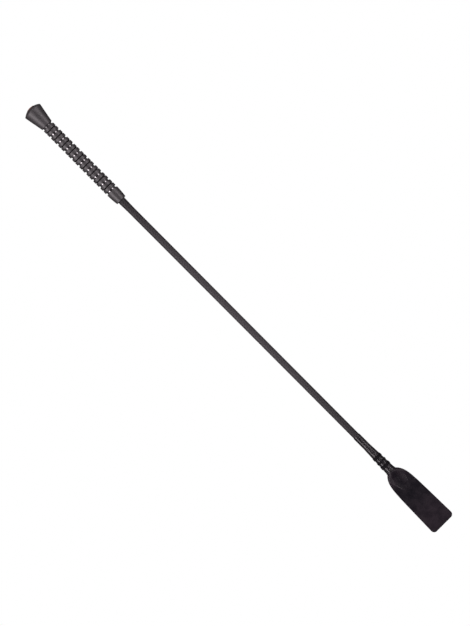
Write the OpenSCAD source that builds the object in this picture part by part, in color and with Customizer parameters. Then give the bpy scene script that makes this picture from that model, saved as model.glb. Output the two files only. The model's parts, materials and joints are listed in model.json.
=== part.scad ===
// Riding crop: a short jumping bat with a ribbed rubber grip, a braided
// fibreglass shaft and a broad two-ply leather keeper whipped on with thread.
//
// Millimetres. +X runs along the crop from the butt to the keeper, +Z stands
// square to the keeper's face and Y lies across it. The origin is on the
// crop's axis at the middle of the grip, where the hand closes.
//
// "u" is a distance along the crop from the top of the butt.

/* [Overall] */
// Length from the butt to the end of the keeper
total_len = 650; // [560:5:760]

/* [Butt] */
// Diameter at the widest part of the flare
butt_d = 22.8; // [19:0.2:26]
// Length of the flare, from its crown to its narrow end
butt_len = 26.6; // [22:0.2:34]
// How far the flare's narrow end stands out past the ribs
butt_neck_step = 0.1; // [0.1:0.05:1]
// Radius of the crown's curve
crown_r = 17.5; // [13.4:0.1:22]
// Radius of the edge between the crown and the flare
crown_edge_r = 1.2; // [0.6:0.1:2.4]

/* [Grip] */
// Number of pairs of ribs
rib_pairs = 9; // [6:1:12]
// Distance from one wide groove to the next
rib_pitch = 11.1; // [9:0.1:14]
// Thickness of rubber under the wide grooves
grip_wall = 0.75; // [0.6:0.05:2.5]
// Depth of the wide grooves below the ribs
groove_depth = 1.7; // [1.3:0.05:2.4]
// How much thicker the rubber is beside the collar than beside the butt
grip_swell = 0.33; // [0:0.01:1.2]
// Width of the floor of a wide groove
groove_floor_w = 1.5; // [1:0.1:2.4]
// How far a groove's steep wall leans
groove_steep_w = 0.5; // [0.1:0.1:0.8]
// How far a groove's sloping wall leans
groove_slope_w = 0.7; // [0.4:0.1:1.4]
// Height of the bead along a groove's floor
groove_bead_h = 0.15; // [0.1:0.05:0.5]
// Width of the narrow slit between two ribs of a pair
slit_w = 1; // [0.5:0.1:1.4]
// Depth of the slit
slit_depth = 1; // [0.6:0.1:1.3]
// Radius of the shoulders beside the slit
slit_shoulder_r = 0.4; // [0.3:0.1:1.2]
// Length of the plain collar at the shaft's end of the grip
collar_len = 14.2; // [10:0.1:20]
// Thickness of rubber at the collar's flat face
collar_wall = 2; // [1:0.1:2.6]

/* [Shaft] */
// Diameter of the fibreglass rod inside the grip
rod_d_grip = 7.9; // [6.4:0.1:9]
// Diameter of the rod just past its shoulder
rod_d_shaft = 7.2; // [5.4:0.1:8]
// Diameter of the rod at its tip
rod_d_tip = 6.9; // [5:0.1:7.6]
// Length of the shoulder where the rod thins outside the grip
rod_shoulder_len = 18; // [8:1:40]
// Thickness of the braided cover
braid_t = 0.55; // [0.3:0.05:0.8]
// Wall of the caps on the rod's two ends
cap_wall = 0.9; // [0.6:0.1:1.4]
// Length of rod that each cap covers
cap_grip_len = 7; // [4:0.5:12]
// Thickness of the tape that binds the braid's cut end
tape_t = 0.2; // [0.1:0.05:0.3]
// Width of that tape
tape_w = 12; // [6:1:20]

/* [Butt stud] */
// Diameter of the stud's head
stud_d = 9.5; // [4:0.5:11]
// How far the head stands proud of the crown
stud_proud = 0.4; // [0.2:0.1:0.8]
// How deep the edge of the head is let into the crown
stud_seat = 0.15; // [0.1:0.05:0.5]
// Diameter of the stud's shank
stud_shank_d = 2; // [1.4:0.1:3]
// Length of the shank
stud_shank_len = 7.5; // [5:0.5:10]

/* [Keeper] */
// Length of the keeper beyond its whipping
keeper_len = 82.6; // [60:1:110]
// Width at the end of the keeper
keeper_end_w = 31; // [24:0.5:42]
// Width at the keeper's shoulders
keeper_shoulder_w = 28.4; // [20:0.2:38]
// Length over which the neck widens into the shoulders
shoulder_len = 21; // [14:0.5:32]
// Radius of the keeper's corners
keeper_corner_r = 4.4; // [1:0.2:8]
// Thickness of each ply of leather
ply_t = 1.5; // [1:0.1:2.2]
// Thickness at the skived start of the neck
skive_t = 0.1; // [0.1:0.05:0.3]
// Length of leather neck under the whipping
neck_len = 37; // [28:1:50]
// Distance from the whipping to the line where the keeper bends
bend_from_whipping = 12.6; // [9:0.2:20]

/* [Whipping] */
// Length of the thread whipping
whipping_len = 54.8; // [44:0.2:70]
// Thickness of the whipping
thread_t = 0.4; // [0.2:0.05:0.6]
// Diameter of the waxed cord that the bands are wound from
band_cord_d = 0.65; // [0.5:0.05:1]

/* [Hidden] */
// Radial clearance between pieces that sit inside each other
fit = 0.02;
// Clearance at the line where the keeper bends
bend_gap = 0.3;
// Gap between the two plies, filled by cement
cement_gap = 0.04;
// How late the collar's barrel falls away
barrel_power = 1.8;
// Steepness of the turn from neck to shoulder
shoulder_rate = 3;
// Each band: [distance of its middle back from the whipping's end, turns]
bands = [[22.2, 7], [15.6, 5], [9.4, 7]];
// Spacing of a band's turns, and how high the cord's middle lies over the
// whipping, as shares of the cord's diameter
band_spacing = 0.9;
band_seat = 0.3;
// Steps along a bent outline, and across a ply's section
outline_steps = 24;
arc_steps = 10;
section_steps = 16;
eps = 0.01;
$fn = 72;

grip_start = stud_proud;
flare_end = grip_start + butt_len;
first_groove = flare_end + groove_steep_w + groove_floor_w / 2;
collar_start = first_groove + rib_pairs * rib_pitch
             + groove_floor_w / 2 + groove_slope_w;
grip_end = collar_start + collar_len;
hand_u = grip_end / 2;

keeper_start = total_len - keeper_len;
whipping_start = keeper_start - whipping_len;
neck_start = keeper_start - neck_len;
bend_u = keeper_start + bend_from_whipping;

braid_r_grip = rod_d_grip / 2 + braid_t;
braid_r_tip = rod_d_tip / 2 + braid_t;
tape_r = braid_r_grip + fit + tape_t;
cap_r_grip = rod_d_grip / 2 + fit + cap_wall;
stud_r = stud_d / 2;
stud_back = grip_start + crown_drop(stud_r) + stud_seat;
rod_start = stud_back + stud_shank_len;
cap_end = rod_start + cap_grip_len;
tape_start = cap_end + fit;
rod_end = keeper_start - 2 * cap_wall;

// ---- Shared helpers --------------------------------------------------------

function mix(a, b, t) = a + (b - a) * t;
function clamp01(t) = max(0, min(1, t));
function smooth(t) = let (c = clamp01(t)) c * c * (3 - 2 * c);

// Points on an arc in the [radius, u] plane, from angle a0 to a1 in degrees
function arc(centre, r, a0, a1, steps = arc_steps) =
    [for (i = [0:steps]) let (a = mix(a0, a1, i / steps))
        [centre[0] + r * cos(a), centre[1] + r * sin(a)]];

// A body turned about the crop's axis, from points [radius, u]
module turned(points) {
    translate([-hand_u, 0, 0]) rotate([0, 90, 0]) rotate_extrude() polygon(points);
}

// ---- Grip ------------------------------------------------------------------

// Radii of a groove's floor and of the ribs beside it
function floor_r(u) = tape_r + fit + grip_wall
    + grip_swell * clamp01((u - flare_end) / (collar_start - flare_end));
function rib_r(u) = floor_r(u) + groove_depth;

// The crown's edge is a small circle inside the crown's curve: its centre's
// distance from the axis, and its angle seen from the centre of the crown
edge_r = butt_d / 2 - crown_edge_r;
edge_angle = asin(edge_r / (crown_r - crown_edge_r));
edge_drop = crown_r - (crown_r - crown_edge_r) * cos(edge_angle);
butt_neck_r = rib_r(flare_end) + butt_neck_step;
flare_angle = atan((butt_d / 2 - butt_neck_r) / (butt_len - edge_drop));

// How far the crown has fallen at a distance r from the axis
function crown_drop(r) = crown_r - sqrt(pow(crown_r, 2) - pow(r, 2));

// Crown and rounded edge, from the axis outwards
function crown_profile() = concat(
    arc([0, grip_start + crown_r], crown_r, -90, edge_angle - 90),
    arc([edge_r, grip_start + edge_drop], crown_edge_r, edge_angle - 90, flare_angle));

// One wide groove centred on u: steep wall, beaded floor, sloping wall
function groove_profile(u) = let (
        r = floor_r(u),
        wall_r = u > first_groove ? rib_r(u) : butt_neck_r,
        a = u - groove_floor_w / 2,
        b = u + groove_floor_w / 2)
    concat(
        [[wall_r, a - groove_steep_w], [r, a]],
        [for (i = [1:5]) [r + groove_bead_h * sin(180 * i / 6), mix(a, b, i / 6)]],
        [[r, b], [rib_r(b), b + groove_slope_w]]);

// The slit between the two ribs that follow the groove at u
function slit_profile(u) = let (
        c = u + rib_pitch / 2 + (groove_slope_w - groove_steep_w) / 2,
        r = rib_r(c), s = slit_shoulder_r)
    concat(
        arc([r - s, c - slit_w / 2 - s], s, 0, 90, 4),
        [[r - slit_depth, c - slit_w / 2 + 0.1], [r - slit_depth, c + slit_w / 2 - 0.1]],
        arc([r - s, c + slit_w / 2 + s], s, -90, 0, 4));

// The collar's barrel falls away towards its flat face
function collar_profile() = [for (i = [1:arc_steps]) let (t = i / arc_steps)
    [mix(rib_r(collar_start), braid_r_grip + fit + collar_wall, pow(t, barrel_power)),
     collar_start + collar_len * t]];

// Clearances for the stud, the rod's cap, the tape and the braid
function grip_bore() = [
    [braid_r_grip + fit, grip_end],
    [braid_r_grip + fit, tape_start + tape_w + fit],
    [tape_r + fit, tape_start + tape_w + fit],
    [tape_r + fit, cap_end + fit],
    [cap_r_grip + fit, cap_end + fit],
    [cap_r_grip + fit, rod_start - cap_wall - fit],
    [stud_shank_d / 2 + fit, rod_start - cap_wall - fit],
    [stud_shank_d / 2 + fit, stud_back + fit],
    [stud_r + fit, stud_back + fit]];

module grip_moulding() {
    seat_r = stud_r + fit;
    outside = concat(
        [[seat_r, grip_start + crown_drop(seat_r)]],
        [for (p = crown_profile()) if (p[0] > seat_r) p],
        [for (k = [0:rib_pairs - 1]) let (u = first_groove + k * rib_pitch)
            each concat(groove_profile(u), slit_profile(u))],
        groove_profile(first_groove + rib_pairs * rib_pitch),
        collar_profile());
    color([0.15, 0.14, 0.15])
    turned(concat(outside, grip_bore()));
}

// Low domed head on a plain shank, pressed into the cap on the rod's end
module butt_stud() {
    rise = stud_proud + crown_drop(stud_r) / 2;
    dome_r = (pow(stud_r, 2) + pow(rise, 2)) / 2 / rise;
    color([0.55, 0.3, 0.22])
    turned(concat(
        arc([0, dome_r], dome_r, -90, asin(stud_r / dome_r) - 90),
        [[stud_r, stud_back],
         [stud_shank_d / 2, stud_back],
         [stud_shank_d / 2, rod_start - fit],
         [0, rod_start - fit]]));
}

// ---- Shaft -----------------------------------------------------------------

// Hard cap that keeps the rod's end from punching through the rubber
module rod_end_cap() {
    color([0.85, 0.84, 0.8])
    turned([
        [stud_shank_d / 2 + fit, rod_start - cap_wall],
        [cap_r_grip - 0.3, rod_start - cap_wall],
        [cap_r_grip, rod_start - cap_wall + 0.3],
        [cap_r_grip, cap_end],
        [rod_d_grip / 2 + fit, cap_end],
        [rod_d_grip / 2 + fit, rod_start],
        [stud_shank_d / 2 + fit, rod_start]]);
}

function rod_r(u) =
    u < grip_end ? rod_d_grip / 2 :
    u < grip_end + rod_shoulder_len
        ? mix(rod_d_grip, rod_d_shaft, smooth((u - grip_end) / rod_shoulder_len)) / 2
        : mix(rod_d_shaft, rod_d_tip,
            clamp01((u - grip_end - rod_shoulder_len) / (total_len / 3))) / 2;

// Where the rod's outline changes slope outside the grip
rod_stations = concat(
    [for (i = [0:6]) grip_end + rod_shoulder_len * i / 6],
    [grip_end + rod_shoulder_len + total_len / 3]);

module core_rod() {
    color([0.9, 0.88, 0.78])
    turned(concat(
        [[0, rod_start], [rod_r(rod_start), rod_start]],
        [for (u = rod_stations) [rod_r(u), u]],
        [[rod_r(rod_end), rod_end], [0, rod_end]]));
}

// The sheath starts behind the cap on the rod's butt and ends at the tip cap
module braid_cover() {
    first = cap_end + fit;
    last = rod_end - cap_grip_len;
    outline = concat([first], rod_stations, [last]);
    n = len(outline);
    color([0.1, 0.1, 0.11])
    turned(concat(
        [for (u = outline) [rod_r(u) + braid_t, u]],
        [for (i = [n - 1:-1:0]) [rod_r(outline[i]) + fit, outline[i]]]));
}

module braid_end_tape() {
    r = braid_r_grip + fit;
    color([0.1, 0.1, 0.1])
    turned([[r, tape_start], [tape_r, tape_start],
            [tape_r, tape_start + tape_w], [r, tape_start + tape_w]]);
}

// Smooth cap over the rod's tip, as thick as the braid that it butts against
module rod_tip_cap() {
    r = rod_d_tip / 2 + fit;
    nose = rod_end + cap_wall;
    color([0.12, 0.12, 0.12])
    turned([
        [r, rod_end - cap_grip_len + fit],
        [braid_r_tip, rod_end - cap_grip_len + fit],
        [braid_r_tip, nose - 0.5],
        [braid_r_tip - 0.5, nose],
        [0, nose],
        [0, rod_end + fit],
        [r, rod_end + fit]]);
}

// ---- Whipping --------------------------------------------------------------

// Outside radius of the leather neck, or of the bare braid before it starts
function neck_r(u) = u < neck_start ? braid_r_tip + fit :
    braid_r_tip + fit + mix(skive_t, ply_t, clamp01((u - neck_start) / neck_len));
function whipping_r(u) = neck_r(u) + fit + thread_t;

module whipping_thread() {
    lead_in = 4;
    stations = [neck_start - eps, neck_start, keeper_start];
    color([0.07, 0.07, 0.08])
    turned(concat(
        [[neck_r(whipping_start) + fit, whipping_start],
         [neck_r(whipping_start) + fit + thread_t / 2, whipping_start],
         [whipping_r(whipping_start), whipping_start + lead_in]],
        [for (u = stations) [whipping_r(u), u]],
        [for (i = [len(stations) - 1:-1:0]) [neck_r(stations[i]) + fit, stations[i]]]));
}

// A few turns of thick cord wound side by side over the whipping
module thread_band(which) {
    middle = keeper_start - bands[which][0];
    turns = bands[which][1];
    pitch = band_cord_d * band_spacing;
    half = (turns - 1) * pitch / 2;
    seat_r = whipping_r(middle + half + band_cord_d / 2) + fit;
    color([0.06, 0.06, 0.07])
    translate([middle - hand_u, 0, 0]) rotate([0, 90, 0])
    union() {
        for (i = [0:turns - 1])
            rotate_extrude() translate([seat_r + band_cord_d * band_seat, -half + i * pitch])
                intersection() {
                    circle(d = band_cord_d, $fn = 32);
                    translate([-band_cord_d * band_seat, -band_cord_d]) square(2 * band_cord_d);
                }
    }
}

// ---- Keeper ----------------------------------------------------------------

// Half the keeper's width at a distance v past the whipping
function keeper_half_w(v) = let (
        neck = neck_r(keeper_start),
        slope = (keeper_end_w - keeper_shoulder_w) / 2 / (keeper_len - shoulder_len),
        base = keeper_shoulder_w / 2 - slope * shoulder_len)
    mix(neck, base, 1 - exp(-shoulder_rate * max(0, v) / shoulder_len)) + slope * max(0, v);

// Outline of the flap on the +Y side from the bend to the end: [u, y]
function flap_side() = let (
        r = keeper_corner_r,
        last = total_len - r,
        corner_y = keeper_half_w(last - keeper_start) - r)
    concat(
        [for (i = [0:outline_steps]) let (u = mix(bend_u, last, pow(i / outline_steps, 1.5)))
            [u, keeper_half_w(u - keeper_start)]],
        [for (i = [1:arc_steps]) let (a = 90 - 90 * i / arc_steps)
            [last + r * cos(a), corner_y + r * sin(a)]]);

// Flat ply of the flap, above the middle plane, with a rounded edge at the bend
module flap_ply() {
    side = flap_side();
    half = side[0][1];
    n = len(side);
    mirrored = [for (i = [n - 1:-1:0]) [side[i][0], -side[i][1]]];
    translate([-hand_u, 0, cement_gap / 2])
        linear_extrude(ply_t - cement_gap / 2) polygon(concat(side, mirrored));
    translate([bend_u - hand_u, 0, 0])
        intersection() {
            rotate([90, 0, 0]) cylinder(r = ply_t, h = 2 * half, center = true);
            translate([-2 * ply_t, -half, cement_gap / 2])
                cube([2 * ply_t + eps, 2 * half, ply_t]);
        }
}

// One station of a neck ply: half a ring round the rod that opens into a flat strip
function ply_section(u) = let (
        v = u - keeper_start,
        flat = smooth(v / (bend_from_whipping - ply_t - bend_gap)),
        out_y = v < 0 ? neck_r(u) : keeper_half_w(v),
        out_z = mix(neck_r(u), ply_t, flat),
        in_r = braid_r_tip + 3 * fit,
        in_y = mix(in_r, out_y - eps, flat),
        in_z = mix(in_r, 0, flat))
    concat(
        [for (i = [0:section_steps]) let (a = 180 * i / section_steps)
            [u, out_y * cos(a), max(cement_gap / 2 + eps, mix(out_z * sin(a), ply_t, flat))]],
        [for (i = [section_steps:-1:0]) let (a = 180 * i / section_steps)
            [u, in_y * cos(a), max(cement_gap / 2, in_z * sin(a))]]);

// Ply of the neck, above the middle plane, from its skived start to the bend
module neck_ply() {
    under = [for (i = [0:6]) mix(neck_start, keeper_start, i / 6)];
    last = bend_u - ply_t - bend_gap;
    open = [for (i = [1:12]) mix(keeper_start, last, i / 12)];
    stations = [for (u = concat(under, open)) ply_section(u)];
    n = len(stations);
    m = len(stations[0]);
    points = [for (s = stations) each s];
    walls = [for (j = [0:n - 2], i = [0:m - 1]) let (a = j * m + i, b = j * m + (i + 1) % m)
        each [[a, b, b + m], [a, b + m, a + m]]];
    // The section is a band folded on itself, so its ends are capped strip by strip
    strip = [for (i = [0:section_steps - 1]) let (k = m - 1 - i)
        each [[i, k, i + 1], [k, k - 1, i + 1]]];
    back_cap = [for (t = strip) t];
    front_cap = [for (t = strip) [for (q = [2, 1, 0]) t[q] + (n - 1) * m]];
    translate([-hand_u, 0, 0])
        polyhedron(points, concat(walls, back_cap, front_cap), convexity = 6);
}

module keeper_neck_front() { color([0.13, 0.12, 0.13]) neck_ply(); }
module keeper_neck_back() { color([0.12, 0.11, 0.12]) mirror([0, 0, 1]) neck_ply(); }
module keeper_flap_front() { color([0.13, 0.12, 0.13]) flap_ply(); }
module keeper_flap_back() { color([0.12, 0.11, 0.12]) mirror([0, 0, 1]) flap_ply(); }

grip_moulding();
butt_stud();
rod_end_cap();
core_rod();
braid_cover();
braid_end_tape();
rod_tip_cap();
whipping_thread();
thread_band(0);  // thread_band_upper
thread_band(1);  // thread_band_middle
thread_band(2);  // thread_band_lower
keeper_neck_front();
keeper_neck_back();
keeper_flap_front();
keeper_flap_back();
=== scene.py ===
import json
import math

import bmesh
import bpy
import numpy as np
from mathutils import Matrix, Vector


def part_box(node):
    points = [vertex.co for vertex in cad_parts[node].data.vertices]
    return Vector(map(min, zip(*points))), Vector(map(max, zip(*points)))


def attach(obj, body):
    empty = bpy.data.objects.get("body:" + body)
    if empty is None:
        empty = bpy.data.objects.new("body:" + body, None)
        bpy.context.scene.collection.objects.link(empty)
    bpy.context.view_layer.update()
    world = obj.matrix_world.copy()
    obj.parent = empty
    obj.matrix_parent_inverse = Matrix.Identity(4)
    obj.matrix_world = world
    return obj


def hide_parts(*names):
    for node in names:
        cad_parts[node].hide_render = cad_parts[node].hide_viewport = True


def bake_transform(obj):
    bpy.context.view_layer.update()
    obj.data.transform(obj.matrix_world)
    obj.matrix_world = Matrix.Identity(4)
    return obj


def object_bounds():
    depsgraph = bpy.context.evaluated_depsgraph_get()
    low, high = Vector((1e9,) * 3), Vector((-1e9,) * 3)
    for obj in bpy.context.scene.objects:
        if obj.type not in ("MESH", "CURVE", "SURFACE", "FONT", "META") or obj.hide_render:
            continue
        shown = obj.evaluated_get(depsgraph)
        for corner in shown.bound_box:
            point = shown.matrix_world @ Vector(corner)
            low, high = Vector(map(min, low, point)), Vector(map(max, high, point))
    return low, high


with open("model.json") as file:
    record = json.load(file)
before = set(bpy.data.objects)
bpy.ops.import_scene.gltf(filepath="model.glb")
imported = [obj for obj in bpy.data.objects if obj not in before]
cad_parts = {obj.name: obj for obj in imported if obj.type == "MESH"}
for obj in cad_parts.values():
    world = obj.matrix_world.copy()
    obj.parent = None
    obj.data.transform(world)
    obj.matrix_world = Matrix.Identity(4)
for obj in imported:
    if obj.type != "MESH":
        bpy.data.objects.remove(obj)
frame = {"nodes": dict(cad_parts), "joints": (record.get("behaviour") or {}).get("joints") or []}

cad_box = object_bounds()

# ---- Camera ----------------------------------------------------------------
# A long lens hangs square over the crop, which lies along the frame's diagonal
# with its butt at the upper left and its keeper at the lower right.

MM = 0.001
VIEW_LENGTH = 0.6932
LENS = 150
SENSOR = 36
SLANT = math.radians(45.12)
AIM_SHIFT = Vector((-3.8 * MM, 1.0 * MM, 0))

camera_data = bpy.data.cameras.new("studio_camera")
camera_data.lens = LENS
camera_data.sensor_width = SENSOR
camera = bpy.data.objects.new("studio_camera", camera_data)
bpy.context.scene.collection.objects.link(camera)
aim = (cad_box[0] + cad_box[1]) / 2 + AIM_SHIFT
camera_height = VIEW_LENGTH * LENS / SENSOR
turn = Matrix.Rotation(SLANT, 4, "Z")
camera.matrix_world = Matrix.Translation((aim.x, aim.y, camera_height)) @ turn
camera_data.clip_start = 0.05
camera_data.clip_end = 200
bpy.context.scene.camera = camera

# ---- Grip ------------------------------------------------------------------
# The grip is one hollow rubber moulding: a flared butt, nine pairs of ribs
# with wide and narrow grooves between them, and a plain collar. It is stretched
# over the shaft and glued, and its wide grooves come out of the mould polished.

# Sizes are in millimetres. BUTT_TOP is a place in metres, and u is a distance from it.
BUTT_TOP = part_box("butt_stud")[0].x
FIT = 0.02
GRIP_START = 0.4
FLARE_END = 27.0
CROWN_R = 17.5
CROWN_EDGE_R = 1.2
STUD_SEAT = 0.15
SHANK_R = 1
GRIP_WALL = 0.75
GRIP_SWELL = 0.33
GROOVE_DEPTH = 1.7
NECK_STEP = 0.1
GROOVE_STEEP = 0.5
GROOVE_FLOOR = 1.5
GROOVE_SLOPE = 0.7
GROOVE_BEAD = 0.15
BEAD_STEPS = 6
SLIT_HALF_W = 0.5
SLIT_DEPTH = 1.0
SLIT_V_DEPTH = 0.2
SLIT_WALL_LEAN = 0.06
SHOULDER_R = 0.4
RIB_PAIRS = 9
RIB_PITCH = 11.1
FIRST_GROOVE = FLARE_END + GROOVE_STEEP + GROOVE_FLOOR / 2
COLLAR_START = FIRST_GROOVE + RIB_PAIRS * RIB_PITCH + GROOVE_FLOOR / 2 + GROOVE_SLOPE
COLLAR_FACE_R = 6.42
COLLAR_STEPS = 12
BARREL_POWER = 1.8
GRIP_EDGE_R = 0.16
GRIP_SIDES = 128
POLISH_MARGIN = 0.1
POLISH_RISE = 0.35
FIRST_POLISH = 0.2
# How far the painted shade in the slits reaches past their walls, and how softly it fades in.
SHADE_MARGIN = 0.12
SHADE_FADE = 0.3


def at(u):
    """Place on the X axis, in metres, of a point u millimetres from the top of the butt."""
    return BUTT_TOP + u * MM


def span(node):
    """Where a node starts and ends along the crop, and its reach from the axis, in mm."""
    low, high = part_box(node)
    return (low.x - BUTT_TOP) / MM, (high.x - BUTT_TOP) / MM, high.y / MM


def mix(a, b, t):
    return a + (b - a) * t


def smooth(t):
    t = np.clip(t, 0, 1)
    return t * t * (3 - 2 * t)


def arc(centre, radius, first, last, steps):
    """Points [radius, u] on an arc between two angles in degrees."""
    angles = [math.radians(mix(first, last, i / steps)) for i in range(steps + 1)]
    return [(centre[0] + radius * math.cos(a), centre[1] + radius * math.sin(a)) for a in angles]


def eased(points, radius, closed=True, steps=4, support=0.14):
    """Rounds the sharp corners of an outline and pins the flats beside them."""
    points = [p for i, p in enumerate(points) if i == 0 or math.dist(p, points[i - 1]) > 1e-4]
    count = len(points)
    soft = []
    for i, p in enumerate(points):
        p = Vector(p)
        if not closed and i in (0, count - 1):
            soft.append(p)
            continue
        back = Vector(points[i - 1]) - p
        ahead = Vector(points[(i + 1) % count]) - p
        bend = math.pi - back.angle(ahead)
        if bend < math.radians(14):
            soft.append(p)
            continue
        cut = min(radius * math.tan(bend / 2), 0.4 * back.length, 0.4 * ahead.length)
        start = p + back.normalized() * cut
        end = p + ahead.normalized() * cut
        for k in range(steps + 1):
            t = k / steps
            soft.append(start * (1 - t) ** 2 + p * 2 * t * (1 - t) + end * t * t)
    pinned = []
    for i, p in enumerate(soft):
        pinned.append(p)
        if not closed and i == len(soft) - 1:
            break
        run = soft[(i + 1) % len(soft)] - p
        if run.length > 4 * support:
            step = run.normalized() * support
            pinned += [p + step, p + run - step]
    return [tuple(p) for p in pinned]


def skin(name, rings, wrap=False, marks=None):
    """A closed mesh over rings of points in metres, with its own map for baking.

    The rings are an array [rings, points, 3]. With wrap the last ring joins the
    first, and otherwise both ends are closed. Marks are values kept per point.
    """
    strands = rings if isinstance(rings, list) else [rings]
    faces, corners, first = [], [], 0
    for lane, points in enumerate(strands):
        n, m = points.shape[:2]
        j, i = np.meshgrid(np.arange(n if wrap else n - 1), np.arange(m), indexing="ij")
        j, i = j.ravel(), i.ravel()
        ahead, beside = (j + 1) % n, (i + 1) % m
        faces.append(first + np.stack([j * m + i, j * m + beside, ahead * m + beside, ahead * m + i], 1))
        low, high = (lane + i / m) / len(strands), (lane + (i + 1) / m) / len(strands)
        left, right = j / n, (j + 1) / n
        corners.append(np.stack([left, low, left, high, right, high, right, low], 1).reshape(-1, 4, 2))
        if not wrap:
            i = np.arange(m // 2 - 1)
            end = np.stack([i, i + 1, m - 2 - i, m - 1 - i], 1)
            spot = np.full((len(i), 4, 2), lane / len(strands))
            faces += [first + end[:, ::-1], first + end + (n - 1) * m]
            corners += [spot, spot]
        first += n * m
    places = np.concatenate([s.reshape(-1, 3) for s in strands])
    mesh = bpy.data.meshes.new(name)
    mesh.from_pydata(places.tolist(), [], np.concatenate(faces).tolist())
    uv = mesh.uv_layers.new(name="OFBake")
    uv.data.foreach_set("uv", np.concatenate(corners).astype(np.float32).ravel())
    for label, values in (marks or {}).items():
        values = np.asarray(values, np.float32)
        kind = "FLOAT_VECTOR" if values.ndim > 1 else "FLOAT"
        layer = mesh.attributes.new(label, kind, "POINT")
        layer.data.foreach_set("vector" if values.ndim > 1 else "value", values.ravel())
    work = bmesh.new()
    work.from_mesh(mesh)
    bmesh.ops.remove_doubles(work, verts=work.verts, dist=1e-7)
    bmesh.ops.recalc_face_normals(work, faces=work.faces)
    for face in work.faces:
        face.smooth = True
    work.to_mesh(mesh)
    work.free()
    piece = bpy.data.objects.new(name, mesh)
    bpy.context.scene.collection.objects.link(piece)
    return piece


def turned(name, profile, sides, marks=None):
    """A piece turned about the crop's axis from an outline of points [radius, u] in millimetres."""
    angle = np.linspace(0, 2 * math.pi, sides, endpoint=False)[:, None]
    r = np.array([p[0] for p in profile])[None, :] * MM
    x = np.array([at(p[1]) for p in profile])[None, :]
    rings = np.stack([x + 0 * angle, r * np.cos(angle), r * np.sin(angle)], 2)
    kept = {k: np.tile(v, sides) for k, v in (marks or {}).items()}
    return skin(name, rings, wrap=True, marks=kept)


class Wire:
    """One socket among a material's nodes, with the sums that the finishes need."""

    def __init__(self, tree, socket=None):
        self.tree = tree
        self.socket = socket

    def node(self, kind, settings=None, sockets=None, output=0):
        """Adds a node: its settings first, then a value or a link for each named socket."""
        made = self.tree.nodes.new(kind)
        for name, value in (settings or {}).items():
            setattr(made, name, value)
        for name, value in (sockets or {}).items():
            socket = made.inputs[name]
            if isinstance(value, Wire):
                self.tree.links.new(value.socket, socket)
            else:
                socket.default_value = value
        return Wire(self.tree, made.outputs[output])

    def sum(self, operation, *values):
        return self.node("ShaderNodeMath", {"operation": operation}, dict(enumerate(values)))

    def __add__(self, other):
        return self.sum("ADD", self, other)

    def __sub__(self, other):
        return self.sum("SUBTRACT", self, other)

    def __rsub__(self, other):
        return self.sum("SUBTRACT", other, self)

    def __mul__(self, other):
        return self.sum("MULTIPLY", self, other)

    def __truediv__(self, other):
        return self.sum("DIVIDE", self, other)

    __radd__ = __add__
    __rmul__ = __mul__

    def sine(self):
        return self.sum("SINE", self)

    def size(self):
        return self.sum("ABSOLUTE", self)

    def ramp(self, low, high):
        """0 below the low value and 1 above the high one, with a soft turn between them."""
        return self.node("ShaderNodeMapRange", {"interpolation_type": "SMOOTHSTEP"},
                         {"Value": self, "From Min": low, "From Max": high})

    def attribute(self, name, output="Fac"):
        return self.node("ShaderNodeAttribute", {"attribute_name": name}, output=output)

    def part(self, axis):
        return self.node("ShaderNodeSeparateXYZ", None, {"Vector": self}, axis)

    def stretched(self, factors):
        return self.node("ShaderNodeVectorMath", {"operation": "MULTIPLY"}, {0: self, 1: factors})

    def noise(self, grain, detail=3, roughness=0.5):
        """Soft noise whose lumps are about one grain across, in the unit of this vector."""
        return self.node("ShaderNodeTexNoise", None,
                         {"Vector": self, "Scale": 1 / grain, "Detail": detail,
                          "Roughness": roughness})

    def tint(self, dark, light):
        """This value as a colour between a dark and a light one."""
        return self.node("ShaderNodeMix", {"data_type": "RGBA"},
                         {"Factor": self, "A": (*dark, 1), "B": (*light, 1)}, "Result")


def finish(name, build, **constants):
    """A material. build(wire) returns the sockets that vary.

    It may also return "relief", a height for the bump in mm, and "dull", a painted
    shade: where it is 1 the surface is mixed to a sheenless near-black diffuse.
    """
    material = bpy.data.materials.new(name)
    material.use_nodes = True
    tree = material.node_tree
    surface = next(n for n in tree.nodes if n.type == "BSDF_PRINCIPLED")
    for label, value in constants.items():
        surface.inputs[label.replace("_", " ")].default_value = value
    varying = build(Wire(tree))
    relief = varying.pop("relief", None)
    if relief:
        varying["Normal"] = relief.node("ShaderNodeBump", None,
                                        {"Height": relief, "Distance": MM, "Strength": 1.0})
    dull = varying.pop("dull", None)
    if dull:
        # Painted shade: a near-black diffuse is mixed in where the mask is 1.
        matt = dull.node("ShaderNodeBsdfDiffuse", None, {"Color": (0.003, 0.003, 0.003, 1)})
        both = dull.node("ShaderNodeMixShader", None,
                         {0: dull, 1: Wire(tree, surface.outputs[0]), 2: matt})
        output = next(n for n in tree.nodes if n.type == "OUTPUT_MATERIAL")
        tree.links.new(both.socket, output.inputs["Surface"])
    for label, wire in varying.items():
        tree.links.new(wire.socket, surface.inputs[label])
    return material


def dress(piece, material, body, slot, *stands_for):
    piece.data.materials.append(material)
    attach(piece, body)
    if stands_for:
        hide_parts(*stands_for)


GRIP_END, BUTT_R = span("grip_moulding")[1:]
CAP_START, CAP_END, CAP_R = span("rod_end_cap")
TAPE_END, TAPE_R = span("braid_end_tape")[1:]
BRAID_START, BRAID_END, BRAID_R = span("braid_cover")
STUD_END, STUD_R = span("butt_stud")[1:]


def floor_r(u):
    swell = (u - FLARE_END) / (COLLAR_START - FLARE_END)
    return TAPE_R + FIT + GRIP_WALL + GRIP_SWELL * min(1, max(0, swell))


def rib_r(u):
    return floor_r(u) + GROOVE_DEPTH


def crown_drop(r):
    """How far the crown has fallen at a distance r from the axis."""
    return CROWN_R - math.sqrt(CROWN_R ** 2 - r ** 2)


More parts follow.
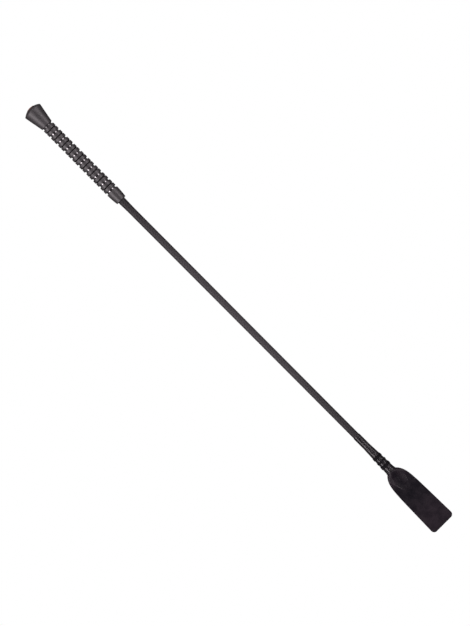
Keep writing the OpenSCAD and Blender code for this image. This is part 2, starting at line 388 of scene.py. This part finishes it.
def wide_groove(u):
    """A steep wall, a beaded floor centred on u and a sloping wall."""
    start, end = u - GROOVE_FLOOR / 2, u + GROOVE_FLOOR / 2
    wall = rib_r(u) + (NECK_STEP if u == FIRST_GROOVE else 0)
    across = [i / BEAD_STEPS for i in range(BEAD_STEPS + 1)]
    bead = [(floor_r(u) + GROOVE_BEAD * math.sin(math.pi * t), mix(start, end, t)) for t in across]
    return [(wall, start - GROOVE_STEEP), *bead, (rib_r(u), end + GROOVE_SLOPE)]


def slit_middle(u):
    """Where the slit lies between the two ribs that follow the wide groove at u."""
    return u + RIB_PITCH / 2 + (GROOVE_SLOPE - GROOVE_STEEP) / 2


def slit(u):
    """A narrow groove with rounded shoulders and a shallow V for its floor."""
    c = slit_middle(u)
    r = rib_r(c)
    away = SLIT_HALF_W + SHOULDER_R
    foot_r = r - SLIT_DEPTH + SLIT_V_DEPTH
    return [*arc((r - SHOULDER_R, c - away), SHOULDER_R, 0, 90, 5),
            (foot_r, c - SLIT_HALF_W + SLIT_WALL_LEAN),
            (r - SLIT_DEPTH, c),
            (foot_r, c + SLIT_HALF_W - SLIT_WALL_LEAN),
            *arc((r - SHOULDER_R, c + away), SHOULDER_R, -90, 0, 5)]


edge_r = BUTT_R - CROWN_EDGE_R
edge_angle = math.degrees(math.asin(edge_r / (CROWN_R - CROWN_EDGE_R)))
edge_drop = CROWN_R - (CROWN_R - CROWN_EDGE_R) * math.cos(math.radians(edge_angle))
flare_lean = math.degrees(math.atan((BUTT_R - rib_r(FLARE_END) - NECK_STEP)
                                    / (FLARE_END - GRIP_START - edge_drop)))
crown = [*arc((0, GRIP_START + CROWN_R), CROWN_R, -90, edge_angle - 90, 24),
         *arc((edge_r, GRIP_START + edge_drop), CROWN_EDGE_R, edge_angle - 90, flare_lean, 12)]
seat_r = STUD_R + FIT
stud_back = GRIP_START + crown_drop(STUD_R) + STUD_SEAT
outline = [p for p in crown if p[0] > seat_r]
outline.insert(0, (seat_r, GRIP_START + crown_drop(seat_r)))
for k in range(RIB_PAIRS):
    outline += wide_groove(FIRST_GROOVE + k * RIB_PITCH)
    outline += slit(FIRST_GROOVE + k * RIB_PITCH)
outline += wide_groove(FIRST_GROOVE + RIB_PAIRS * RIB_PITCH)
for i in range(1, COLLAR_STEPS + 1):
    t = i / COLLAR_STEPS
    outline.append((mix(rib_r(COLLAR_START), COLLAR_FACE_R, t ** BARREL_POWER),
                    mix(COLLAR_START, GRIP_END, t)))
bore = [(BRAID_R, GRIP_END - FIT), (BRAID_R, TAPE_END), (TAPE_R, TAPE_END), (TAPE_R, CAP_END),
        (CAP_R, CAP_END), (CAP_R, CAP_START - 2 * FIT), (SHANK_R, CAP_START - 2 * FIT),
        (SHANK_R, stud_back), (STUD_R, stud_back)]
outline += [(r + FIT, u + FIT) for r, u in bore]
outline = eased(outline, GRIP_EDGE_R)


def polish(r, u):
    """1 on the floor of a wide groove, little in the first one, 0 on the ribs and the slits."""
    k = round((u - FIRST_GROOVE) / RIB_PITCH)
    groove = FIRST_GROOVE + k * RIB_PITCH
    inside = 0 <= k <= RIB_PAIRS and abs(u - groove) < GROOVE_FLOOR / 2 + POLISH_MARGIN
    if not inside or r >= floor_r(groove) + POLISH_RISE:
        return 0.0
    return 1.0 if k else FIRST_POLISH


def slit_shade(r, u):
    """1 inside a slit, where painted shade turns the surface nearly black and sheenless."""
    c = slit_middle(FIRST_GROOVE + math.floor((u - FIRST_GROOVE) / RIB_PITCH) * RIB_PITCH)
    inside = FIRST_GROOVE < u < COLLAR_START and abs(u - c) < SLIT_HALF_W + SHADE_MARGIN
    return float(smooth((rib_r(u) - r - SHADE_MARGIN) / SHADE_FADE)) if inside else 0.0


def rubber(wire):
    place = wire.node("ShaderNodeTexCoord", output="Object")
    blotch = place.noise(9 * MM, 4)
    pebble = place.noise(0.45 * MM, 2)
    gloss = wire.attribute("polish")
    hollow = wire.attribute("slit_shade")
    seam = 1 - (place.part(2) / MM).size().ramp(0.04, 0.16)
    shade = blotch.ramp(0.3, 0.7) * 0.75 + pebble * 0.25
    return {
        "Base Color": shade.tint((0.011, 0.0103, 0.0109), (0.02, 0.0186, 0.0196)),
        "Roughness": (blotch * 0.1 + 0.46) * (1 - gloss * 0.6),
        "Coat Weight": gloss,
        # Painted shade: inside the slits the rubber is mixed toward a sheenless near-black.
        "dull": hollow * 0.95,
        "relief": pebble * 0.035 * (1 - gloss * 0.9) + seam * 0.03,
    }


grip = turned("grip_rubber", outline, GRIP_SIDES,
              {"polish": [polish(r, u) for r, u in outline],
               "slit_shade": [slit_shade(r, u) for r, u in outline]})
dress(grip, finish("grip_rubber", rubber, Coat_IOR=1.9, Coat_Roughness=0.2),
      "crop", "grip_rubber", "grip_moulding")

# ---- Butt stud -------------------------------------------------------------
# A low domed stud of coppered metal sits in the crown of the butt. Its shank is
# pressed through the rubber into the hard cap on the rod's end.

SHANK_CHAMFER = 0.3
STUD_EDGE_R = 0.12
STUD_SIDES = 96

stud_rise = GRIP_START + crown_drop(STUD_R) / 2
dome_r = (STUD_R ** 2 + stud_rise ** 2) / 2 / stud_rise
dome_edge = math.degrees(math.asin(STUD_R / dome_r)) - 90
stud_outline = eased([*arc((0, dome_r), dome_r, -90, dome_edge, 14), (STUD_R, stud_back),
                      (SHANK_R, stud_back), (SHANK_R, STUD_END - SHANK_CHAMFER),
                      (SHANK_R - SHANK_CHAMFER, STUD_END), (0, STUD_END)],
                     STUD_EDGE_R, closed=False, support=0.08)


def copper(wire):
    place = wire.node("ShaderNodeTexCoord", output="Object")
    tarnish = place.noise(1.3 * MM, 5, 0.6).ramp(0.35, 0.7)
    scuff = place.noise(0.25 * MM, 3)
    return {
        "Base Color": tarnish.tint((0.32, 0.132, 0.096), (0.16, 0.068, 0.053)),
        "Roughness": tarnish * 0.16 + 0.42,
        "Metallic": 0.7 - tarnish * 0.5,
        "relief": scuff * 0.02,
    }


stud = turned("stud_copper", stud_outline, STUD_SIDES)
dress(stud, finish("stud_copper", copper), "crop", "stud_copper", "butt_stud")

# ---- Rod, caps and tape ----------------------------------------------------
# The shaft is a solid fibreglass rod. A hard moulded cap is glued on its butt
# end and a smooth one on its tip, and tape binds the cut end of the braid.


def fibreglass(wire):
    place = wire.node("ShaderNodeTexCoord", output="Object")
    strands = place.stretched((0.02, 1, 1)).noise(0.25 * MM, 4)
    return {
        "Base Color": strands.tint((0.6, 0.56, 0.38), (0.78, 0.76, 0.6)),
        "Roughness": strands * 0.2 + 0.15,
        "relief": strands * 0.03,
    }


def moulded(dark, light, rough):
    """A maker of moulded plastic finishes with a fine spark-eroded surface."""
    def build(wire):
        place = wire.node("ShaderNodeTexCoord", output="Object")
        grain = place.noise(0.3 * MM, 3)
        return {
            "Base Color": place.noise(4 * MM).tint(dark, light),
            "Roughness": grain * 0.2 + rough,
            "relief": grain * 0.02,
        }
    return build


hidden_finishes = {
    "core_rod": finish("rod_fibreglass", fibreglass),
    "rod_end_cap": finish("cap_plastic", moulded((0.66, 0.65, 0.6), (0.76, 0.75, 0.7), 0.45)),
    "rod_tip_cap": finish("tip_plastic", moulded((0.035, 0.035, 0.036), (0.055, 0.054, 0.055), 0.4)),
    "braid_end_tape": finish("tape_black", moulded((0.022, 0.022, 0.023), (0.035, 0.034, 0.035), 0.3)),
}
for node, material in hidden_finishes.items():
    for spot in frame["nodes"][node].material_slots:
        spot.material = material

# ---- Braided cover ---------------------------------------------------------
# Sixteen flat nylon strands are braided straight on to the rod, eight each way,
# each passing over two and under two. A dark undercoat on the rod shows between.

BRAID_T = 0.55
STRANDS = 8
BRAID_LEAD = 20.0
BRAID_STEPS = 900
BRAID_TRIM = 0.8
STRAND_W = 1.95
STRAND_T = 0.28
STRAND_SIDES = 10
CROSSINGS = 2 * STRANDS
ROD_R = (3.95, 3.6, 3.45)
SHOULDER_LEN = 18.0
CROP_LEN = 650
TAPER_LEN = CROP_LEN / 3
STRAND_COS = math.cos(math.radians(48))
STRAND_REST = 1.35
COAT_T = 0.06
COAT_GAP = 0.005
COAT_TRIM = 0.1
COAT_STEPS = 60
COAT_SIDES = 64
BARE_LEN = span("whipping_thread")[0] - GRIP_END


def rod_r(u):
    """The rod's radius: in the grip, after the shoulder beyond it, and at the tip."""
    shoulder = smooth((u - GRIP_END) / SHOULDER_LEN)
    taper = np.clip((u - GRIP_END - SHOULDER_LEN) / TAPER_LEN, 0, 1)
    return ROD_R[0] + (ROD_R[1] - ROD_R[0]) * shoulder + (ROD_R[2] - ROD_R[1]) * taper


def ribbon(u, angle, radius, hand):
    """Rings of a flat strand that lies at an angle and a radius for each u."""
    around = np.linspace(0, 2 * math.pi, STRAND_SIDES, endpoint=False)[None, :]
    across = STRAND_W / 2 * np.cos(around)
    rise = STRAND_T / 2 * np.sin(around) * (1 - 0.15 * np.cos(around) ** 2)
    lean = np.arctan(2 * math.pi * radius / BRAID_LEAD)[:, None]
    r = radius[:, None] + rise
    turn = angle[:, None] + hand * across * np.cos(lean) / r
    x = u[:, None] - across * np.sin(lean)
    return np.stack([BUTT_TOP + x * MM, r * np.cos(turn) * MM, r * np.sin(turn) * MM], 2)


def braid_layer(name, hand):
    """The eight strands that wind one way, as one piece; hand is 1 or -1.

    A strand swings over and under the others, and STRAND_REST over 1 lets it lie
    level for a while before it crosses.
    """
    u = np.linspace(BRAID_START + BRAID_TRIM, BRAID_END - BRAID_TRIM, BRAID_STEPS)
    across = np.cos(np.linspace(0, 2 * math.pi, STRAND_SIDES, endpoint=False))
    crossing = CROSSINGS * (u - GRIP_END) / BRAID_LEAD
    strands, lays = [], []
    for i in range(STRANDS):
        angle = 2 * math.pi * (i / STRANDS + hand * (u - GRIP_END) / BRAID_LEAD)
        swing = hand * np.cos(math.pi / 2 * (crossing + hand * (2 * i - 0.5)))
        lift = np.sin(math.pi / 2 * np.clip(STRAND_REST * swing, -1, 1))
        wave = (BRAID_T - STRAND_T) / 2 * lift
        radius = rod_r(u) + BRAID_T / 2 + wave
        strands.append(ribbon(u, angle, radius, hand))
        run = np.repeat(u / STRAND_COS, STRAND_SIDES)
        lays.append(np.stack([run, np.tile(across, len(u)), np.full(len(run), i + 10.0 * hand)], 1))
    return skin(name, strands, marks={"lay": np.concatenate(lays)})


def nylon(wire):
    lay = wire.attribute("lay", "Vector")
    yarns = (lay.part(1) * 8.0 + lay.part(0) * 0.6).sine() * 0.5 + 0.5
    streak = lay.stretched((0.25, 4, 3)).noise(1.0, 3)
    # The bare shaft's braid is made paler towards its middle.
    paler_middle = ((lay.part(0) - GRIP_END / STRAND_COS) * (math.pi * STRAND_COS / BARE_LEN)).sine()
    shade = (streak * 0.6 + yarns * 0.4) * 0.35 + paler_middle * 0.5
    return {
        "Base Color": shade.tint((0.008, 0.0073, 0.0082), (0.0376, 0.0352, 0.0382)),
        "Roughness": streak * 0.16 + 0.46,
        "relief": yarns * 0.05 + streak * 0.02,
    }


nylon_finish = finish("braid_nylon", nylon, Specular_IOR_Level=0.2)
for name, hand in (("braid_strands_right", 1), ("braid_strands_left", -1)):
    dress(braid_layer(name, hand), nylon_finish, "crop", "braid_nylon", "braid_cover")

coat_run = np.linspace(BRAID_START + COAT_TRIM, BRAID_END - COAT_TRIM, COAT_STEPS)
undercoat = [(rod_r(u) + COAT_GAP, u) for u in coat_run]
undercoat += [(rod_r(u) + COAT_T, u) for u in coat_run[::-1]]
liner = turned("braid_undercoat", undercoat, COAT_SIDES)
dress(liner, finish("undercoat", moulded((0.012, 0.011, 0.012), (0.02, 0.018, 0.02), 0.5)),
      "crop", "braid_nylon", "braid_cover")

# ---- Whipping --------------------------------------------------------------
# One fine waxed thread is wound side by side over the skived neck of the keeper
# and on to the bare braid. Its own tension holds the keeper on the shaft.

THREAD_D = 0.4
WHIPPING_START, KEEPER_START = span("whipping_thread")[:2]
NECK_START = span("keeper_neck_front")[0]
NECK_IN_R = span("rod_tip_cap")[2] + FIT
PLY_T = 1.5
SKIVE_T = 0.1
NECK_SWELL = 0.5
SWELL_LEN = 2.2
TURN_STEPS = 48
THREAD_SIDES = 8
THREAD_LIFT = 0.02
TUCK_DEPTH = 0.45
SLACK_POINTS = 90
SLACK_RISE = 0.018
SLACK_DRIFT = 0.02


def neck_r(u):
    """Outside radius of what the thread is wound on; it swells where the leather comes out."""
    skived = mix(SKIVE_T, PLY_T, np.clip((u - NECK_START) / (KEEPER_START - NECK_START), 0, 1))
    swell = NECK_SWELL * smooth((u - KEEPER_START) / SWELL_LEN + 1)
    return NECK_IN_R + skived * (np.asarray(u) >= NECK_START) + swell


def wound(u, angle, radius, section):
    """Rings of a thread that winds round the axis; section gives its points [out, along]."""
    out, along = section
    r = radius[:, None] + out
    x = BUTT_TOP + (u[:, None] + along) * MM
    turn = angle[:, None]
    return np.stack([x + 0 * r, r * np.cos(turn) * MM, r * np.sin(turn) * MM], 2)


def wound_lay(u, angle, around, reach):
    """For each point of a wound thread: the length wound so far, its angle round the thread, and u."""
    sides = len(around)
    return np.stack([np.repeat(angle * reach, sides), np.tile(around, len(u)), np.repeat(u, sides)], 1)


turns = (KEEPER_START - WHIPPING_START - THREAD_D) / THREAD_D
steps = int(turns * TURN_STEPS)
angle = np.linspace(0, 2 * math.pi * turns, steps + 1)
chance = np.random.default_rng(7)
slack = np.interp(angle, np.linspace(0, angle[-1], SLACK_POINTS),
                  chance.uniform(-1, 1, SLACK_POINTS))
u = WHIPPING_START + THREAD_D / 2 + angle / 2 / math.pi * THREAD_D
tuck = smooth((u - WHIPPING_START) / 0.6) * smooth((KEEPER_START - u) / 0.5)
seat = THREAD_D / 2 * (1 - TUCK_DEPTH + TUCK_DEPTH * tuck) + THREAD_LIFT
radius = neck_r(u) + seat + SLACK_RISE * slack
around = np.linspace(0, 2 * math.pi, THREAD_SIDES, endpoint=False)
section = (THREAD_D / 2 * np.cos(around), THREAD_D * 0.49 * np.sin(around))
rings = wound(u + SLACK_DRIFT * slack, angle, radius, section)
whipping = skin("whipping_thread_wound", rings, marks={"lay": wound_lay(u, angle, around, 4.5)})


def waxed(wire):
    lay = wire.attribute("lay", "Vector")
    twist = (lay.part(1) + lay.part(0) * 4.0).sine() * 0.5 + 0.5
    wax = lay.stretched((0.12, 0.2, 0.9)).noise(1.0, 3)
    return {
        "Base Color": (wax * 0.7 + twist * 0.3).tint((0.005, 0.0045, 0.0054), (0.015, 0.0138, 0.0156)),
        "Roughness": wax * 0.28 + 0.14,
        "Coat Weight": wax.ramp(0.4, 0.65) * 0.5,
        "relief": twist * 0.02,
    }


dress(whipping, finish("thread_waxed", waxed, Coat_Roughness=0.2), "crop", "thread_waxed",
      "whipping_thread")

# ---- Raised bands ----------------------------------------------------------
# Three bands of thicker twisted cord are wound tight over the whipping. They
# are matt, and their ends are tucked under their own first and last turns.

CORD_D = 0.65
CORD_PITCH = 0.9 * CORD_D
CORD_SIDES = 12
CORD_STEPS = 90
CORD_TWIST = 7.0
CORD_LIFT = 0.05
CORD_SEAT = 0.3
TUCKED_SEAT = 0.02
BAND_TURNS = {"upper": 7, "middle": 5, "lower": 7}


def cord(wire):
    lay = wire.attribute("lay", "Vector")
    hair = lay.stretched((0.6, 1.5, 1)).noise(0.4, 4)
    return {
        "Base Color": hair.tint((0.0015, 0.0014, 0.002), (0.0048, 0.0044, 0.0056)),
        "Roughness": hair * 0.2 + 0.6,
        "relief": hair * 0.06,
    }


cord_finish = finish("cord_black", cord, Specular_IOR_Level=0.1)
for label, count in BAND_TURNS.items():
    middle = sum(span("thread_band_" + label)[:2]) / 2
    half = (count - 1) * CORD_PITCH / 2
    turns = count - 0.25
    angle = np.linspace(0, 2 * math.pi * turns, int(turns * CORD_STEPS) + 1)
    u = middle - half + (2 * half) * angle / angle[-1]
    ends = smooth(angle / 0.5) * smooth((angle[-1] - angle) / 0.5)
    radius = neck_r(u) + THREAD_D + CORD_LIFT + CORD_D * mix(TUCKED_SEAT, CORD_SEAT, ends)
    around = np.linspace(0, 2 * math.pi, CORD_SIDES, endpoint=False)
    twist = 2 * around - (angle * CORD_TWIST)[:, None]
    fat = CORD_D / 2 * (0.93 + 0.1 * np.cos(twist))
    rings = wound(u, angle, radius, (fat * np.cos(around), fat * np.sin(around)))
    band = skin("cord_band_" + label, rings, marks={"lay": wound_lay(u, angle, around, 5)})
    dress(band, cord_finish, "crop", "cord_black", "thread_band_" + label)

# ---- Keeper ----------------------------------------------------------------
# Two plies of black leather are cemented face to face. Each is skived thin and
# wrapped half round the rod under the whipping, bulges where it comes out, and
# is drawn into a gathered tongue that fades into the flat.

KEEPER_LEN = span("keeper_flap_front")[1] - KEEPER_START
BEND_X = frame["joints"][0]["pos_m"][0]
END_HALF_W = 15.5
SHOULDER_HALF_W = 14.2
SHOULDER = 21.0
NECK_R = NECK_IN_R + PLY_T + NECK_SWELL
CORNER_R = 4.4
PLY_EDGE_R = 0.35
PLY_GAP = 0.02
ACROSS = 120
FINE_LEN = 30
FINE_STEP = 0.4
COARSE_STEP = 0.9
SPREAD_RATE = 3
BULGE_H = 0.4
BULGE_LEN = 1.2
BULGE_FALL = 0.28
LINING_R = NECK_IN_R + 0.04
TONGUE_HALF_W = 11.9
TONGUE_TAPER = 0.3
PUCKER_PITCH = 2.7
CREASE_W = 0.6
CREASE_H = 0.16
STEP_H = 0.28
STEP_W = 1.6
DOME_H = 2.3
DOME_LEN = 38
OPEN_LEN = 13
LIE_LEN = 10.8
TOE_START = 32
TOE_END = 66
BEND_LEAD = 5


def half_width(v):
    """Half the keeper's width at a distance v past the whipping."""
    slope = (END_HALF_W - SHOULDER_HALF_W) / (KEEPER_LEN - SHOULDER)
    spread = 1 - np.exp(-SPREAD_RATE * np.maximum(0, v) / SHOULDER)
    return mix(NECK_R, SHOULDER_HALF_W - slope * SHOULDER, spread) + slope * np.maximum(0, v)


def tongue_edge(v):
    """How far from the middle the gathered tongue reaches."""
    return TONGUE_HALF_W - TONGUE_TAPER * v


def fold_strength(v, s):
    """How sharply the tongue's edge is folded, on the two sides of the keeper."""
    long_fold = smooth((v - 6) / 4) * smooth((27 - v) / 5)
    short_fold = smooth((v - 12) / 3) * smooth((22 - v) / 3)
    return np.where(s < 0, long_fold, short_fold)


def ply_rows():
    """Where a ply's sections lie past the whipping, and the half width of each."""
    corner = KEEPER_LEN - CORNER_R
    v = np.concatenate([np.linspace(NECK_START - KEEPER_START, -FINE_STEP, 12),
                        np.arange(0, FINE_LEN, FINE_STEP),
                        np.arange(FINE_LEN, corner, COARSE_STEP)])
    w = np.where(v < 0, neck_r(KEEPER_START + v), half_width(v))
    bend = np.linspace(0, math.pi / 2, 16)
    corner_w = half_width(corner) - CORNER_R
    return (np.concatenate([v, corner + CORNER_R * np.sin(bend)])[:, None],
            np.concatenate([w, corner_w + CORNER_R * np.cos(bend)])[:, None])


def tongue(v, s, y):
    """The gathered tongue's height over the flat, and the mark of the crease along its edge."""
    away = np.abs(y) - tongue_edge(v)
    inside = np.clip(1 - (y / np.maximum(tongue_edge(v), 0.1)) ** 2, 0, 1)
    dome = DOME_H * np.clip(1 - v / DOME_LEN, 0, 1) ** 1.6 * inside ** 1.2
    fold = fold_strength(v, s)
    puckers = 0.65 + 0.35 * np.sin(2 * math.pi * v / PUCKER_PITCH)
    crease = fold * np.exp(-(away / CREASE_W) ** 2) * puckers
    step = fold * STEP_H * smooth(0.5 - away / STEP_W)
    return dome + step + CREASE_H * crease, crease


def unevenness(v, s):
    """How the leather wrinkles beside the whipping and sways in its flat part."""
    wrinkle = 0.07 * np.sin(s * 15 + v * 0.25) * np.exp(-((v - 7) / 5) ** 2)
    sway = 0.1 * np.sin(v * 0.21 + s * 1.3) * np.sin(s * 2.2 + v * 0.07) * smooth((v - 25) / 20)
    return wrinkle + sway


def ply(name, side):
    """One ply as a closed shell from its skived start to its end; side is +1 or -1."""
    v, w = ply_rows()
    s = np.cos(np.linspace(0, math.pi, ACROSS + 1))[None, :]
    y = w * s
    bulge = NECK_R + BULGE_H * smooth(v / BULGE_LEN) - BULGE_FALL * np.maximum(0, v - BULGE_LEN)
    wrapped = np.where(v < 0, neck_r(KEEPER_START + v), bulge) * np.sqrt(1 - s * s)
    reach = np.clip(np.minimum(w * (1 - np.abs(s)), KEEPER_LEN - v), 0, PLY_EDGE_R)
    flat = PLY_T - PLY_EDGE_R + np.sqrt(PLY_EDGE_R ** 2 - (PLY_EDGE_R - reach) ** 2)
    gathered, crease = tongue(v, s, y)
    outer = mix(wrapped, flat + gathered, smooth(v / OPEN_LEN)) + unevenness(v, s)
    outer = np.maximum(outer, PLY_GAP + 0.01)

    lie = smooth(v / LIE_LEN)
    inner_y = mix(LINING_R, w, lie) * s
    inner = np.maximum(PLY_GAP, mix(LINING_R * np.sqrt(1 - s * s), PLY_GAP, lie))
    x = at(KEEPER_START) + v * MM + 0 * s
    front = np.stack([x, y * MM, side * outer * MM], 2)
    back = np.stack([x, inner_y * MM, side * inner * MM], 2)[:, ::-1]
    rings = np.concatenate([front, back], 1)
    crease = np.concatenate([crease, 0 * crease], 1)
    edge = np.concatenate([1 - reach / PLY_EDGE_R, 0 * reach], 1) * smooth((v - 3) / 6)
    # Painted light: near the whipping, the leather beside the tongue's middle is made lighter where the
    # bulge's flanks catch the lamps. It fades out by 22 mm.
    flank_light = smooth((22 - v) / 14) * (1 - np.exp(-(y / 3.5) ** 2))
    flank_light = np.concatenate([flank_light, 0 * flank_light], 1)
    place = rings.reshape(-1, 3) / MM
    return skin(name, rings, marks={"place": place, "crease": crease.ravel(),
                                    "cut": edge.ravel(), "flank_light": flank_light.ravel()})


def leather(wire):
    place = wire.attribute("place", "Vector")
    crease = wire.attribute("crease")
    cut = wire.attribute("cut")
    flank_light = wire.attribute("flank_light")
    cells = place.node("ShaderNodeTexVoronoi", {"feature": "SMOOTH_F1"},
                       {"Vector": place, "Scale": 1.1, "Randomness": 1.0})
    mottle = place.noise(9.0, 5, 0.65).ramp(0.32, 0.68)
    scuff = place.noise(1.6, 4, 0.6).ramp(0.5, 0.72)
    toe = place.part(0).ramp(at(KEEPER_START + TOE_START) / MM, at(KEEPER_START + TOE_END) / MM)
    # Painted highlight: the leather is made lighter along the tongue's creases, broken up by scuffs; the
    # cut edges are a little lighter from wear.
    crease_glint_and_edge_wear = crease.ramp(0.15, 0.9) * (0.6 + scuff * 0.6) + cut * 0.08
    # Painted light: the bulge's flanks by the whipping are made lighter by the next-to-last term.
    shade = mottle * (toe * 0.15 + 0.22) + scuff * 0.12 + toe * 0.4 + flank_light * 0.45 + crease_glint_and_edge_wear * 0.9
    return {
        "Base Color": shade.tint((0.0031, 0.0027, 0.0043), (0.0138, 0.01, 0.0134)),
        "Roughness": mottle * 0.12 + 0.38 - crease * 0.06,
        "relief": cells * 0.07 + mottle * 0.1,
    }


leather_finish = finish("keeper_leather", leather, Specular_IOR_Level=0.13)
bend_start = at(KEEPER_START + BEND_LEAD)
for face, side in (("front", 1), ("back", -1)):
    strip = ply("keeper_leather_" + face, side)
    strip.data.materials.append(leather_finish)
    2 * BEND_X - bend_start
    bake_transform(strip)
    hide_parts("keeper_neck_" + face, "keeper_flap_" + face)

# ---- Studio ----------------------------------------------------------------
# The crop lies on clear glass over a lit white floor, so it throws no shadow.
# Two long strip lights run beside it, the right one brighter, a small one stands
# beyond the butt, and the room glows dimly round the sides.

# Sizes here are in metres. Each light has its name, the axis that it leans about,
# its lean in degrees, its length and its power in watts.
FLOOR_DROP = 0.15
STUDIO_R = 30
LAMP_DISTANCE = 1.3
LAMP_WIDTH = 0.5
LAMP_COLOUR = (1.0, 0.91, 0.955)
LIGHTS = (
    ("left", "X", -46, 1.8, 22.5),
    ("right", "X", 49, 1.8, 33.0),
    ("end", "Y", -68, LAMP_WIDTH, 9.0),
)


def paper(name, make):
    """A glowing white sheet that is seen but doesn't light the crop; make fills its mesh."""
    work = bmesh.new()
    make(work)
    mesh = bpy.data.meshes.new(name)
    work.to_mesh(mesh)
    work.free()
    sheet = bpy.data.objects.new(name, mesh)
    bpy.context.scene.collection.objects.link(sheet)
    sheet.visible_diffuse = False
    sheet.visible_glossy = False
    sheet.visible_shadow = False
    mesh.materials.append(paper_finish)
    return sheet


paper_finish = finish("white_paper", lambda wire: {}, Base_Color=(0, 0, 0, 1),
                      Specular_IOR_Level=0, Emission_Color=(1, 1, 1, 1), Emission_Strength=1.0)
floor = paper("studio_floor", lambda work: bmesh.ops.create_circle(
    work, cap_ends=True, radius=STUDIO_R, segments=96))
floor.location.z = cad_box[0].z - FLOOR_DROP
paper("studio_backdrop", lambda work: bmesh.ops.create_icosphere(
    work, subdivisions=4, radius=STUDIO_R - 0.1))

for label, axis, lean, length, power in LIGHTS:
    lamp = bpy.data.lights.new("strip_light_" + label, "AREA")
    lamp.shape = "RECTANGLE"
    lamp.size = length
    lamp.size_y = LAMP_WIDTH
    lamp.energy = power
    lamp.color = LAMP_COLOUR
    holder = bpy.data.objects.new("strip_light_" + label, lamp)
    bpy.context.scene.collection.objects.link(holder)
    target = BUTT_TOP if axis == "Y" else aim.x
    holder.matrix_world = (Matrix.Translation((target, 0, 0))
                           @ Matrix.Rotation(math.radians(lean), 4, axis)
                           @ Matrix.Translation((0, 0, LAMP_DISTANCE)))
    holder.visible_camera = False

world = bpy.data.worlds.new("studio_room")
bpy.context.scene.world = world
world.use_nodes = True
room = Wire(world.node_tree)
steepness = room.node("ShaderNodeTexCoord", output="Generated").part(2).size()
glow = (1 - steepness.ramp(0.05, 0.6)).tint((0.044, 0.041, 0.044), (0.26, 0.243, 0.256))
background = next(n for n in world.node_tree.nodes if n.type == "BACKGROUND")
world.node_tree.links.new(glow.socket, background.inputs["Color"])
bpy.context.scene.view_settings.view_transform = "Standard"
